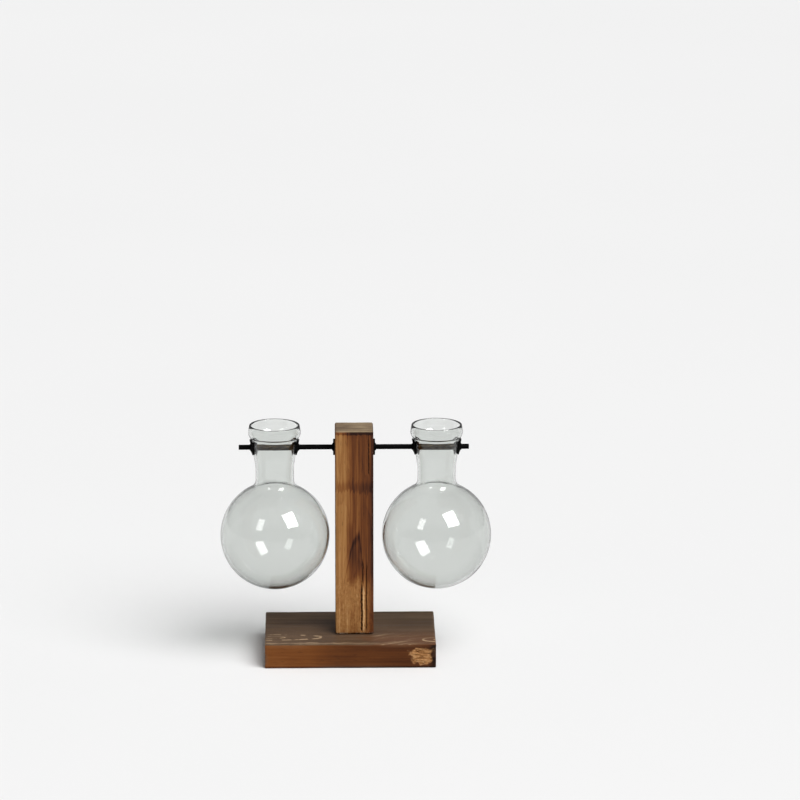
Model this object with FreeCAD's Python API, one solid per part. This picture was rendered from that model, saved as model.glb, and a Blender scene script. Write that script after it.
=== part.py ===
"""Propagation vase: a wooden stand whose crossbar carries two round glass vases by their necks.

Sizes are in millimetres. X runs along the crossbar to the right, Y away from the viewer, Z up.
The origin is the centre of the base board's underside.
"""

import FreeCAD
import Part

import math
import os

Vector = FreeCAD.Vector
ORIGIN = Vector(0, 0, 0)
X_AXIS = Vector(1, 0, 0)
Z_AXIS = Vector(0, 0, 1)
FULL_TURN = 360
HALF_TURN = 180
QUARTER_TURN = 90
LEFT = -1
RIGHT = 1

# Base board
base_width = 125.0
base_depth = 84.0
base_thickness = 18.0
base_edge_round = 0.8

# Post, which stands a little to the right of the board's centre and in front of it
post_width = 28.0
post_depth = 28.0
post_length = 154.0
post_edge_round = 1.2
post_shift_x = 3.2
post_shift_y = -3.3

# Countersunk wood screws, driven from below into the post's end grain
screw_spacing = 16.0
screw_length = 38.0
screw_diameter = 4.0
screw_core_diameter = 2.8
screw_thread_length = 22.0
screw_thread_pitch = 1.6
screw_tip_length = 3.0
screw_head_diameter = 8.0
screw_head_rim = 0.4
screw_head_below_face = 0.5
screw_recess_span = 4.4
screw_recess_slot = 0.9
screw_recess_depth = 1.5
screw_hole_clearance = 0.1

# Crossbar: a round steel rod through the post, with a stub past each vase
crossbar_diameter = 3.7
crossbar_below_post_top = 15.0
crossbar_end_chamfer = 0.3
crossbar_left_stub = 8.0
crossbar_right_stub = 5.4
crossbar_hole_clearance = 0.5

# Gap all round the crossbar in every bore that turns or slides on it
running_clearance = 0.05

# Flanged rubber bushes, one in each side of the post
bush_flange_diameter = 12.0
bush_flange_thickness = 1.3
bush_flange_round = 0.4
bush_barrel_diameter = 7.0
bush_barrel_length = 9.0
bush_collar_length = 0.8
bush_collar_root_diameter = 5.8
bush_collar_tip_diameter = 4.8
bush_seat_clearance = 0.05

# Blown glass vases: a ball, a short neck that flares, and a lip that swells out and leans back in
ball_radius = 40.0
glass_wall = 1.6
shoulder_round = 7.0
neck_radius = 14.0
neck_length = 7.0
flare_round = 40.0
flare_angle = 9.0
flare_below_hole = 11.2
flare_above_grommet = 0.3
lip_step_round = 2.5
lip_step_angle = 38.0
lip_bead_round = 6.5
lip_lean_angle = 8.0
lip_height = 4.0
left_vase_gap = 4.0
right_vase_gap = 6.3

# Rubber grommets, one in each of the two holes through a neck
grommet_flange_diameter = 11.8
grommet_barrel_diameter = 8.0
grommet_outer_flange = 0.9
grommet_inner_flange = 0.7
grommet_glass_clearance = 0.06
grommet_collar_root_diameter = 5.6
grommet_collar_tip_diameter = 4.6
grommet_outer_collar = 0.9
grommet_inner_collar = 0.5

# Thin sleeves on the crossbar, one inside each neck, which keep the two grommets apart
sleeve_wall = 0.4
sleeve_end_gap = 0.3

# How far a cutting tool runs past the face that it cuts
overrun = 2.0

# The crossbar's place
crossbar_height = base_thickness + post_length - crossbar_below_post_top
crossbar_radius = crossbar_diameter / 2
crossbar_bore_radius = crossbar_radius + running_clearance

# The glass outline, seen from the ball's centre. The flare leans outwards all the way up.
flare = math.radians(flare_angle)
flare_up = Vector(math.sin(flare), 0, math.cos(flare))
flare_out = Vector(math.cos(flare), 0, -math.sin(flare))
shoulder_x = neck_radius + shoulder_round
shoulder_z = math.sqrt((ball_radius + shoulder_round) ** 2 - shoulder_x**2)
shoulder_centre = Vector(shoulder_x, 0, shoulder_z)
shoulder_turn = math.degrees(math.atan2(shoulder_z, shoulder_x))
flare_round_centre = Vector(neck_radius + flare_round, 0, shoulder_z + neck_length)
flare_start = flare_round_centre - flare_out * flare_round
hole_height = flare_start.z + flare_below_hole
hole_wall_x = flare_start.x + flare_below_hole * math.tan(flare)
flare_above_hole = grommet_flange_diameter / 2 + flare_above_grommet
flare_end = flare_start + flare_up * ((flare_below_hole + flare_above_hole) / math.cos(flare))
lip_lean = math.radians(lip_lean_angle)
lip_up = Vector(-math.sin(lip_lean), 0, math.cos(lip_lean))
lip_out = Vector(math.cos(lip_lean), 0, math.sin(lip_lean))

# The grommets' faces at the height of the crossbar, from the neck's axis
outer_face_x = hole_wall_x + (grommet_glass_clearance + grommet_outer_flange) / math.cos(flare)
inner_face_depth = glass_wall + grommet_glass_clearance + grommet_inner_flange
inner_face_x = hole_wall_x - inner_face_depth / math.cos(flare)
outer_collar_x = outer_face_x + grommet_outer_collar
inner_collar_x = inner_face_x - grommet_inner_collar

# Where the vases hang, and where the crossbar ends
left_vase_x = post_shift_x - post_width / 2 - left_vase_gap - ball_radius
right_vase_x = post_shift_x + post_width / 2 + right_vase_gap + ball_radius
crossbar_left_x = left_vase_x - outer_collar_x - crossbar_left_stub
crossbar_right_x = right_vase_x + outer_collar_x + crossbar_right_stub


def on_circle(centre, radius, turn):
    """Point of the XZ plane on a circle, at an angle in degrees from +X towards +Z."""
    angle = math.radians(turn)
    return centre + Vector(math.cos(angle), 0, math.sin(angle)) * radius


def arc(centre, radius, start, end):
    """Arc of the XZ plane from one angle in degrees to another."""
    turns = (start, (start + end) / 2, end)
    return Part.Arc(*[on_circle(centre, radius, turn) for turn in turns]).toShape()


def line(start, end):
    """Straight edge between two points."""
    return Part.LineSegment(start, end).toShape()


def first_point(edge):
    """Point where an edge starts."""
    return edge.valueAt(edge.FirstParameter)


def last_point(edge):
    """Point where an edge ends."""
    return edge.valueAt(edge.LastParameter)


def along_crossbar(radius, start_x, end_x):
    """Round bar on the crossbar's axis between two places along X."""
    start = Vector(start_x, post_shift_y, crossbar_height)
    return Part.makeCylinder(radius, end_x - start_x, start, X_AXIS)


def crossbar_bore():
    """Running bore for the crossbar, longer than the crossbar itself."""
    return along_crossbar(crossbar_bore_radius, crossbar_left_x - overrun, crossbar_right_x + overrun)


def screw_places():
    """Centres of the two screws on the board's underside, in line with the post's middle."""
    return [Vector(post_shift_x + side * screw_spacing / 2, post_shift_y, 0) for side in (LEFT, RIGHT)]


def screw_hole(place):
    """Bore, countersink and head pocket that one screw needs in the wood."""
    pocket_radius = screw_head_diameter / 2 + screw_hole_clearance
    bore_radius = screw_diameter / 2 + screw_hole_clearance
    pocket_top = screw_head_below_face + screw_head_rim
    bore_length = screw_head_below_face + screw_length + screw_hole_clearance
    pocket = Part.makeCylinder(pocket_radius, pocket_top + overrun, Vector(0, 0, -overrun))
    countersink = Part.makeCone(
        pocket_radius, bore_radius, pocket_radius - bore_radius, Vector(0, 0, pocket_top)
    )
    hole = Part.makeCylinder(bore_radius, bore_length).fuse([pocket, countersink])
    hole.translate(place)
    return hole


def screw(place):
    """Countersunk screw, pointing up, with a cross recess and rings for its thread."""
    head_radius = screw_head_diameter / 2
    shank_radius = screw_diameter / 2
    core_radius = screw_core_diameter / 2
    cone_height = head_radius - shank_radius
    thread_start = screw_length - screw_tip_length - screw_thread_length
    tip_start = screw_length - screw_tip_length
    rim = Part.makeCylinder(head_radius, screw_head_rim)
    cone = Part.makeCone(head_radius, shank_radius, cone_height, Vector(0, 0, screw_head_rim))
    shank = Part.makeCylinder(shank_radius, thread_start)
    core = Part.makeCylinder(core_radius, tip_start)
    tip = Part.makeCone(core_radius, 0, screw_tip_length, Vector(0, 0, tip_start))
    body = rim.fuse([cone, shank, core, tip] + thread_rings(thread_start, core_radius, shank_radius))
    body = body.cut(cross_recess())
    body.translate(place + Z_AXIS * screw_head_below_face)
    return body


def thread_rings(start, core_radius, crest_radius):
    """Sharp rings along the threaded part of a screw."""
    flank = screw_thread_pitch / 2
    rings = []
    for index in range(int(screw_thread_length / screw_thread_pitch)):
        low = Vector(0, 0, start + index * screw_thread_pitch)
        middle = low + Z_AXIS * flank
        rings.append(Part.makeCone(core_radius, crest_radius, flank, low))
        rings.append(Part.makeCone(crest_radius, core_radius, flank, middle))
    return rings


def cross_recess():
    """Two crossed slots in a screw's head."""
    span = screw_recess_span
    slot = screw_recess_slot
    depth = screw_recess_depth + overrun
    across = Part.makeBox(span, slot, depth, Vector(-span / 2, -slot / 2, -overrun))
    upright = Part.makeBox(slot, span, depth, Vector(-slot / 2, -span / 2, -overrun))
    return across.fuse(upright)


def base_board():
    """Wooden board with softened edges, bored from below for the screws."""
    corner = Vector(-base_width / 2, -base_depth / 2, 0)
    board = Part.makeBox(base_width, base_depth, base_thickness, corner)
    board = board.makeFillet(base_edge_round, board.Edges)
    return board.cut([screw_hole(place) for place in screw_places()])


def post():
    """Square wooden post with a cross hole for the crossbar and a seat for each bush."""
    corner = Vector(post_shift_x - post_width / 2, post_shift_y - post_depth / 2, base_thickness)
    block = Part.makeBox(post_width, post_depth, post_length, corner)
    above_foot = [edge for edge in block.Edges if edge.CenterOfMass.z > base_thickness + post_edge_round]
    block = block.makeFillet(post_edge_round, above_foot)
    left_x = post_shift_x - post_width / 2
    right_x = post_shift_x + post_width / 2
    seat_radius = bush_barrel_diameter / 2 + bush_seat_clearance
    seat_depth = bush_barrel_length + bush_seat_clearance
    hole = along_crossbar(crossbar_radius + crossbar_hole_clearance, left_x - overrun, right_x + overrun)
    left_seat = along_crossbar(seat_radius, left_x - overrun, left_x + seat_depth)
    right_seat = along_crossbar(seat_radius, right_x - seat_depth, right_x + overrun)
    return block.cut([hole, left_seat, right_seat] + [screw_hole(place) for place in screw_places()])


def post_bush(side):
    """Rubber bush: a barrel in the post, a round-edged flange on its face and a tapered collar."""
    face = Vector(post_shift_x + side * post_width / 2, post_shift_y, crossbar_height)
    outward = X_AXIS * side
    barrel_start = face - outward * bush_barrel_length
    collar_start = face + outward * bush_flange_thickness
    flange = Part.makeCylinder(bush_flange_diameter / 2, bush_flange_thickness, face, outward)
    outer_rim = max(flange.Edges, key=lambda edge: edge.CenterOfMass.x * side)
    flange = flange.makeFillet(bush_flange_round, [outer_rim])
    barrel = Part.makeCylinder(
        bush_barrel_diameter / 2, bush_barrel_length + bush_flange_thickness / 2, barrel_start, outward
    )
    collar = Part.makeCone(
        bush_collar_root_diameter / 2, bush_collar_tip_diameter / 2, bush_collar_length,
        collar_start, outward,
    )
    return flange.fuse([barrel, collar]).cut(crossbar_bore())


def crossbar():
    """Round rod with a small chamfer on each end."""
    rod = along_crossbar(crossbar_radius, crossbar_left_x, crossbar_right_x)
    end_edges = [edge for edge in rod.Edges if edge.isClosed()]
    return rod.makeChamfer(crossbar_end_chamfer, end_edges)


def glass_outline(inset):
    """Edges of the glass surface from the ball's bottom up to the lip, moved into the wall by inset."""
    step_turn = HALF_TURN - flare_angle
    step_centre = flare_end + flare_out * lip_step_round
    step_end = on_circle(step_centre, lip_step_round, HALF_TURN - lip_step_angle)
    lip_centre = on_circle(step_end, lip_bead_round, HALF_TURN - lip_step_angle)
    ball = arc(ORIGIN, ball_radius - inset, -QUARTER_TURN, shoulder_turn)
    shoulder = arc(shoulder_centre, shoulder_round + inset, HALF_TURN + shoulder_turn, HALF_TURN)
    bend = arc(flare_round_centre, flare_round + inset, HALF_TURN, step_turn)
    step = arc(step_centre, lip_step_round + inset, step_turn, HALF_TURN - lip_step_angle)
    lip = arc(lip_centre, lip_bead_round - inset, -lip_step_angle, lip_lean_angle)
    neck = line(last_point(shoulder), first_point(bend))
    flare_wall = line(last_point(bend), first_point(step))
    lip_wall = line(last_point(lip), last_point(lip) + lip_up * lip_height)
    return [ball, shoulder, neck, bend, flare_wall, step, lip, lip_wall]


def hang_at(shape, vase_x):
    """Move a shape from the ball's centre as origin to the vase's place on the crossbar."""
    shape.translate(Vector(vase_x, post_shift_y, crossbar_height - hole_height))
    return shape


def glass_vase(vase_x):
    """Glass vase turned from its outline, with two opposite holes through the neck."""
    outer = glass_outline(0)
    inner = glass_outline(glass_wall)
    outer_top = last_point(outer[-1])
    rim_centre = outer_top - lip_out * (glass_wall / 2)
    rim = arc(rim_centre, glass_wall / 2, lip_lean_angle, HALF_TURN + lip_lean_angle)
    bottom = line(first_point(inner[0]), first_point(outer[0]))
    face = Part.Face(Part.Wire(outer + [rim] + inner[::-1] + [bottom]))
    glass = face.revolve(ORIGIN, Z_AXIS, FULL_TURN)
    glass.rotate(ORIGIN, Z_AXIS, QUARTER_TURN)
    hole_radius = grommet_barrel_diameter / 2 + grommet_glass_clearance
    hole_start = Vector(-outer_top.x, 0, hole_height)
    holes = Part.makeCylinder(hole_radius, outer_top.x + outer_top.x, hole_start, X_AXIS)
    return hang_at(glass.cut(holes), vase_x)


def beside_flare(near, far, radius):
    """Round patch around the neck's hole, between two distances out from the outer glass surface."""
    low = flare_start - flare_up * overrun
    high = flare_end + flare_up * overrun
    corners = [low + flare_out * near, high + flare_out * near, high + flare_out * far, low + flare_out * far]
    skin = Part.Face(Part.makePolygon(corners + corners[:1])).revolve(ORIGIN, Z_AXIS, FULL_TURN)
    reach = outer_face_x + grommet_outer_flange
    patch = Part.makeCylinder(radius, reach, Vector(0, 0, hole_height), X_AXIS)
    return skin.common(patch)


def grommet(vase_x, side):
    """Rubber grommet that grips the glass: flanges that follow the neck, and a collar on each side."""
    outer_near = grommet_glass_clearance
    outer_far = grommet_glass_clearance + grommet_outer_flange
    inner_near = -glass_wall - grommet_glass_clearance
    inner_far = inner_near - grommet_inner_flange
    outer_flange = beside_flare(outer_near, outer_far, grommet_flange_diameter / 2)
    inner_flange = beside_flare(inner_far, inner_near, grommet_flange_diameter / 2)
    barrel = beside_flare(
        inner_far + grommet_inner_flange / 2, outer_far - grommet_outer_flange / 2, grommet_barrel_diameter / 2
    )
    outer_collar = Part.makeCone(
        grommet_collar_root_diameter / 2, grommet_collar_tip_diameter / 2,
        outer_collar_x - hole_wall_x, Vector(hole_wall_x, 0, hole_height), X_AXIS,
    )
    inner_collar = Part.makeCylinder(
        grommet_collar_root_diameter / 2, hole_wall_x - inner_collar_x,
        Vector(inner_collar_x, 0, hole_height), X_AXIS,
    )
    body = outer_flange.fuse([inner_flange, barrel, outer_collar, inner_collar])
    if side == LEFT:
        body.rotate(ORIGIN, Z_AXIS, HALF_TURN)
    return hang_at(body, vase_x).cut(crossbar_bore())


def bar_sleeve(vase_x):
    """Thin tube on the crossbar between the inner collars of a vase's two grommets."""
    half_length = inner_collar_x - sleeve_end_gap
    tube = along_crossbar(crossbar_bore_radius + sleeve_wall, vase_x - half_length, vase_x + half_length)
    return tube.cut(crossbar_bore())


pieces = {
    "base_board": base_board(),
    "post": post(),
    "post_screws": Part.makeCompound([screw(place) for place in screw_places()]),
    "left_post_bush": post_bush(LEFT),
    "right_post_bush": post_bush(RIGHT),
    "crossbar": crossbar(),
}
for side_name, vase_x, side in (("left", left_vase_x, LEFT), ("right", right_vase_x, RIGHT)):
    pieces[side_name + "_glass_vase"] = glass_vase(vase_x)
    pieces[side_name + "_vase_outer_grommet"] = grommet(vase_x, side)
    pieces[side_name + "_vase_inner_grommet"] = grommet(vase_x, -side)
    pieces[side_name + "_bar_sleeve"] = bar_sleeve(vase_x)

os.makedirs("parts", exist_ok=True)
for name, shape in pieces.items():
    shape.exportStep("parts/" + name + ".step")
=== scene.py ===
"""Propagation vase: a wooden stand whose steel crossbar carries two blown glass vases.

Metres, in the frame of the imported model: X along the crossbar, Y away from the viewer, Z up.
"""

import math

import bmesh
import bpy
from mathutils import Matrix, Vector, noise


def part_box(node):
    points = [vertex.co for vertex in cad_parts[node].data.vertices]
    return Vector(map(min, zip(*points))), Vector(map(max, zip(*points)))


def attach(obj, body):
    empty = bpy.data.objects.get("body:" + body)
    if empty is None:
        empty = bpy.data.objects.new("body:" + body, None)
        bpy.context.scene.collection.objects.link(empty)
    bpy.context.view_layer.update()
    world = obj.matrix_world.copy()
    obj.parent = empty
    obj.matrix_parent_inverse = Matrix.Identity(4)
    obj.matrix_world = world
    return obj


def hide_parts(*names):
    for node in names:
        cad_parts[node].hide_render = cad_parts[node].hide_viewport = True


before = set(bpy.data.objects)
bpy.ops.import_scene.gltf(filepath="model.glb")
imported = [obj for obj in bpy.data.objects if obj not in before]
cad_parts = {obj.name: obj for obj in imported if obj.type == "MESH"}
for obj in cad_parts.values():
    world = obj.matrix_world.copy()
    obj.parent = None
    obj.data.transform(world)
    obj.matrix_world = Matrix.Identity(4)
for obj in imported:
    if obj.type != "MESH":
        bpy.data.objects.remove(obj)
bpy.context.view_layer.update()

mm = 0.001


# The viewpoint: a long lens a little above the stand, aimed past its top right, with the board's
# middle left of the picture's centre and below it.
view_azimuth = math.radians(-0.98)
view_elevation = math.radians(14.5)
view_distance = 3791 * mm
view_right_of_origin = 36.8 * mm
view_above_origin = 185.3 * mm
lens_focal_length = 231.2

view_across = Vector((math.cos(view_azimuth), math.sin(view_azimuth), 0))
view_back = Vector((
    math.sin(view_azimuth) * math.cos(view_elevation),
    -math.cos(view_azimuth) * math.cos(view_elevation),
    math.sin(view_elevation),
))
view_upward = view_back.cross(view_across)
view_aim = view_across * view_right_of_origin + view_upward * view_above_origin

bpy.ops.object.camera_add(location=view_aim + view_back * view_distance)
camera = bpy.context.object
camera.rotation_euler = (-view_back).to_track_quat("-Z", "Y").to_euler()
camera.data.lens = lens_focal_length
bpy.context.scene.camera = camera


# Base board: a stained and varnished softwood board. Its edges are rubbed down by hand, pale grain shows
# through the stain along its front, and a knot has torn out of the front face near the right end.
board_low, board_high = [Vector(corner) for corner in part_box("base_board")]
board_cell = 6.2 * mm
board_edge_round = 0.9 * mm
board_wear_reach = 4 * mm
board_wear_patch = 7 * mm
board_wear_depth = 0.22 * mm
board_grain_width = 1.1 * mm
board_grain_depth = 0.06 * mm
board_pith = (0, 12 * mm, -55 * mm)
board_ring_width = 3.2 * mm
board_dark_end = (56 * mm, 61 * mm)
board_foot_shade = (2.2 * mm, 0.4 * mm)
knot_middle = Vector((51.6 * mm, board_low.y, 9.2 * mm))
knot_half_width = 7.9 * mm
knot_half_height = 6.2 * mm
knot_depth = 1.1 * mm
knot_face_fade = (3 * mm, 1 * mm)
knot_rim_wave = 4 * mm
knot_bend = (1.5 * mm, 5 * mm)
knot_splinter_width = 8 * mm
knot_splinter_height = 1.9 * mm
knot_ledges = 3
knot_margin = Vector((3 * mm, 2 * mm, 2 * mm))
left_loop_middle = (-62 * mm, -23 * mm)
left_loop_reach = (41 * mm, 7 * mm)
left_loop_unbroken = (-28 * mm, -25 * mm)
right_loop_middle = (66 * mm, -30 * mm)
right_loop_reach = (13 * mm, 5.5 * mm)
inner_loop_share = 0.35
loop_line = 1.9 * mm
fan_angle = -24.0
fan_left = (12 * mm, 22 * mm)
fan_right = (56 * mm, 40 * mm)
fan_back = (-10 * mm, -22 * mm)
front_line_inset = 3.4 * mm
front_line_fade = (2 * mm, 0.6 * mm)
timber_fine_cuts = 2
timber_levels = 3
grain_stretch = 14


def start_piece():
    """Leave edit mode and select nothing, so that the next primitive stands alone."""
    if bpy.context.object and bpy.context.object.mode == "EDIT":
        bpy.ops.object.mode_set(mode="OBJECT")
    bpy.ops.object.select_all(action="DESELECT")


def select_edges(piece, wanted):
    """Select the edges in edit mode that a test accepts, and no others."""
    bpy.ops.mesh.select_mode(type="EDGE")
    bpy.ops.mesh.select_all(action="DESELECT")
    mesh = bmesh.from_edit_mesh(piece.data)
    for edge in mesh.edges:
        edge.select_set(wanted(edge))
    bmesh.update_edit_mesh(piece.data)


def select_faces(piece, wanted):
    """Select the faces in edit mode whose middle a test accepts, and no others."""
    bpy.ops.mesh.select_mode(type="FACE")
    bpy.ops.mesh.select_all(action="DESELECT")
    mesh = bmesh.from_edit_mesh(piece.data)
    for face in mesh.faces:
        face.select_set(wanted(face.calc_center_median()))
    bmesh.update_edit_mesh(piece.data)


def apply_modifier(piece, kind, **settings):
    """Add a modifier with its settings and apply it."""
    bpy.context.view_layer.objects.active = piece
    modifier = piece.modifiers.new(kind.lower(), kind)
    for name, value in settings.items():
        setattr(modifier, name, value)
    bpy.ops.object.modifier_apply(modifier=modifier.name)


def edge_gap(point, low, high):
    """Distance from a point on a block's surface to the nearest of the block's edges."""
    return sorted(min(point[axis] - low[axis], high[axis] - point[axis]) for axis in range(3))[1]


def timber_block(name, low, high, cell, edge_round, fine_low, fine_high):
    """Block of wood in even small cells, finer between two corners, with its edges rounded."""
    size = high - low

    def on_block_edge(edge):
        return edge_gap((edge.verts[0].co + edge.verts[1].co) / 2, low, high) < edge_round / 9

    def in_fine_part(middle):
        return all(fine_low[axis] < middle[axis] < fine_high[axis] for axis in range(3))

    start_piece()
    bpy.ops.mesh.primitive_cube_add(size=1, location=(low + high) / 2, scale=size)
    block = bpy.context.object
    block.name = name
    bpy.ops.object.transform_apply(location=True, rotation=True, scale=True)
    bpy.ops.object.mode_set(mode="EDIT")
    for axis in range(3):
        select_edges(block, lambda edge: abs((edge.verts[0].co - edge.verts[1].co)[axis]) > cell)
        bpy.ops.mesh.subdivide(number_cuts=round(size[axis] / cell) - 1)
    select_edges(block, on_block_edge)
    bpy.ops.mesh.bevel(offset=edge_round, segments=3, affect="EDGES")
    select_faces(block, in_fine_part)
    bpy.ops.mesh.subdivide(number_cuts=timber_fine_cuts)
    bpy.ops.object.mode_set(mode="OBJECT")
    apply_modifier(
        block, "SUBSURF", subdivision_type="SIMPLE", levels=timber_levels, render_levels=timber_levels)
    bpy.ops.object.shade_smooth()
    return block


def carve(piece, rule):
    """Cut every vertex back by the depth that a rule returns, and keep the masks that it returns too."""
    normals = [vertex.normal.copy() for vertex in piece.data.vertices]
    masks = {}
    places = []
    for vertex, normal in zip(piece.data.vertices, normals):
        depth, shares = rule(vertex.co)
        places.extend(vertex.co - normal * depth)
        for name, share in shares.items():
            masks.setdefault(name, []).append(share)
    piece.data.vertices.foreach_set("co", places)
    for name, shares in masks.items():
        piece.data.attributes.new(name, "FLOAT", "POINT").data.foreach_set("value", shares)
    piece.data.update()


def smooth_step(value, start, end):
    """0 before the start, 1 past the end, and a smooth rise between them."""
    share = min(max((value - start) / (end - start), 0.0), 1.0)
    return share * share * (3 - 2 * share)


def grain_noise(point, along, scale, seed):
    """Noise from -1 to 1, stretched along the grain."""
    stretched = Vector(point) / scale
    stretched[along] /= grain_stretch
    return noise.noise(stretched + Vector((seed, seed, seed)))


def torn_knot(point):
    """How far a point lies inside the knot, and how deep it has torn out in ledges there, from 0 to 1."""
    across = (point.x - knot_middle.x) / knot_half_width
    upward = (point.z - knot_middle.z) / knot_half_height
    rim = (across**4 + upward**4) ** 0.25 + 0.3 * noise.fractal(point / knot_rim_wave, 1.0, 2.0, 3)
    from_face = point.y - knot_middle.y
    inside = smooth_step(rim, 1.08, 0.78) * smooth_step(from_face, *knot_face_fade)
    lean = 0.35 * (point.z - knot_middle.z) + knot_bend[0] * noise.noise(point / knot_bend[1])
    along = (point.x + lean) / knot_splinter_width
    splinters = Vector((along, 0, (point.z + 0.3 * lean) / knot_splinter_height))
    broken = 0.5 + 0.6 * noise.fractal(splinters, 1.0, 2.1, 3)
    ledge = min(max(math.floor(broken * knot_ledges) / knot_ledges, 0.0), 1.0)
    gap = smooth_step(abs(noise.noise(splinters * 0.8 + Vector((4, 0, 9)))), 0.07, 0.01)
    return inside, inside * max(0.75 * ledge, gap)


def board_surface(point):
    """Edges rubbed down, grain raised and the knot torn out."""
    ragged = noise.fractal(Vector((point.x / 4, point.y, point.z)) / board_wear_patch, 1.0, 2.0, 2)
    edge = max(0.0, 1 - edge_gap(point, board_low, board_high) / board_wear_reach)
    rubbed = edge**2 * smooth_step(ragged, -0.5, 0.7)
    grain = 0.5 - 0.5 * grain_noise(point, 0, board_grain_width, 3)
    inside, hollow = torn_knot(point)
    depth = board_wear_depth * rubbed + board_grain_depth * grain
    depth += knot_depth * (0.25 * inside + 0.75 * hollow)
    return depth, {"wear": rubbed, "torn": inside, "hollow": hollow}


def set_inputs(tree, node, values):
    """Link a node's inputs, by name or number, to sockets, or set them to plain values."""
    for name, value in dict(values).items():
        if isinstance(value, bpy.types.NodeSocket):
            tree.links.new(value, node.inputs[name])
        else:
            node.inputs[name].default_value = value


def add_node(tree, kind, values=(), **settings):
    """New shader node with its settings and its inputs."""
    node = tree.nodes.new("ShaderNode" + kind)
    for name, value in settings.items():
        setattr(node, name, value)
    set_inputs(tree, node, values)
    return node


def calculate(tree, operation, *values, clamp=False):
    """Result of one Math node."""
    return add_node(tree, "Math", enumerate(values), operation=operation, use_clamp=clamp).outputs[0]


def product(tree, result, *factors):
    """Product of values."""
    for factor in factors:
        result = calculate(tree, "MULTIPLY", result, factor)
    return result


def centred(tree, value):
    """Value from 0 to 1, moved so that its middle is zero."""
    return calculate(tree, "SUBTRACT", value, 0.5)


def mixed(tree, share, first, second):
    """Colour between two colours."""
    return add_node(tree, "Mix", {0: share, 6: first, 7: second}, data_type="RGBA").outputs[2]


def ranged(tree, value, start, end, low=0.0, high=1.0):
    """Value mapped smoothly from one range to another."""
    values = {"Value": value, "From Min": start, "From Max": end, "To Min": low, "To Max": high}
    return add_node(tree, "MapRange", values, interpolation_type="SMOOTHSTEP").outputs[0]


def stretched_noise(tree, vector, scales, detail=3.0, roughness=0.5):
    """Noise of a position that is multiplied by its own scale along each axis."""
    scaled = add_node(tree, "VectorMath", {0: vector, 1: scales}, operation="MULTIPLY").outputs[0]
    values = {"Vector": scaled, "Scale": 1.0, "Detail": detail, "Roughness": roughness}
    return add_node(tree, "TexNoise", values).outputs[0]


def new_group(name, inputs, outputs):
    """Empty node group and its two end nodes. Inputs and outputs are lists of name and socket kind."""
    group = bpy.data.node_groups.new(name, "ShaderNodeTree")
    for way, sockets in (("INPUT", inputs), ("OUTPUT", outputs)):
        for socket_name, kind in sockets:
            group.interface.new_socket(socket_name, in_out=way, socket_type="NodeSocket" + kind)
    return group, group.nodes.new("NodeGroupInput"), group.nodes.new("NodeGroupOutput")


def toned(tree, tone, *stops):
    """Colour for a tone from dark to light, by stops of place and colour."""
    ramp = add_node(tree, "ValToRGB", {0: tone})
    elements = ramp.color_ramp.elements
    elements.remove(elements[1])
    for place, colour in stops:
        elements.new(place).color = colour
    elements.remove(elements[0])
    return ramp.outputs["Color"]


def weighed(tree, start, *shares):
    """Start value plus each given value times its own weight."""
    total = start
    for value, weight in shares:
        total = calculate(tree, "MULTIPLY_ADD", value, weight, total)
    return total


def timber_figure():
    """Group for wood whose grain runs along X: growth rings, streaks, lines, fibres and pores."""
    names = ("Rings", "Streaks", "Lines", "Fibres", "Pores", "Height")
    inputs = [("Vector", "Vector"), ("Pith", "Vector"), ("Ring Width", "Float")]
    group, start, end = new_group("timber_figure", inputs, [(name, "Float") for name in names])
    position = start.outputs["Vector"]
    from_pith = add_node(group, "VectorMath", {0: position, 1: start.outputs["Pith"]}, operation="SUBTRACT")
    sides = add_node(group, "SeparateXYZ", {0: from_pith.outputs[0]}).outputs
    square_y = product(group, sides["Y"], sides["Y"])
    square_z = product(group, sides["Z"], sides["Z"])
    radius = calculate(group, "SQRT", calculate(group, "ADD", square_y, square_z))
    wander = stretched_noise(group, position, (14.0, 60.0, 60.0), 3.0)
    count = calculate(group, "DIVIDE", radius, start.outputs["Ring Width"])
    saw = calculate(group, "FRACT", calculate(group, "MULTIPLY_ADD", wander, 5.0, count))
    rings = product(group, calculate(group, "POWER", saw, 3.0), ranged(group, saw, 1.0, 0.93))
    streaks = stretched_noise(group, position, (9.0, 190.0, 190.0), 4.0, 0.6)
    lines = stretched_noise(group, position, (11.0, 850.0, 850.0), 3.0, 0.6)
    fibres = stretched_noise(group, position, (45.0, 2400.0, 2400.0), 2.0)
    dashes = stretched_noise(group, position, (150.0, 2600.0, 2600.0), 1.0)
    pores = ranged(group, dashes, 0.64, 0.74)
    height = weighed(group, 0.0, (rings, 0.4), (lines, 0.5), (fibres, 0.35), (pores, -0.6))
    set_inputs(group, end, zip(names, (rings, streaks, lines, fibres, pores, height)))
    return group


timber_group = timber_figure()


def new_material(name):
    """Material with an empty tree but for its Principled shader and its output."""
    material = bpy.data.materials.new(name)
    material.use_nodes = True
    tree = material.node_tree
    return material, tree, tree.nodes["Principled BSDF"]


def timber(tree, vector, pith, ring_width):
    """Outputs of the timber group, placed with its own pith and ring width."""
    values = {"Vector": vector, "Pith": pith, "Ring Width": ring_width}
    return add_node(tree, "Group", values, node_tree=timber_group).outputs


def carved_masks(tree, *names):
    """Masks that carving kept on a piece, by name."""
    return {name: add_node(tree, "Attribute", attribute_name=name).outputs["Fac"] for name in names}


def bump(tree, strength, distance, height):
    """Normal that a height bends."""
    return add_node(tree, "Bump", {"Strength": strength, "Distance": distance, "Height": height}).outputs[0]


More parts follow.
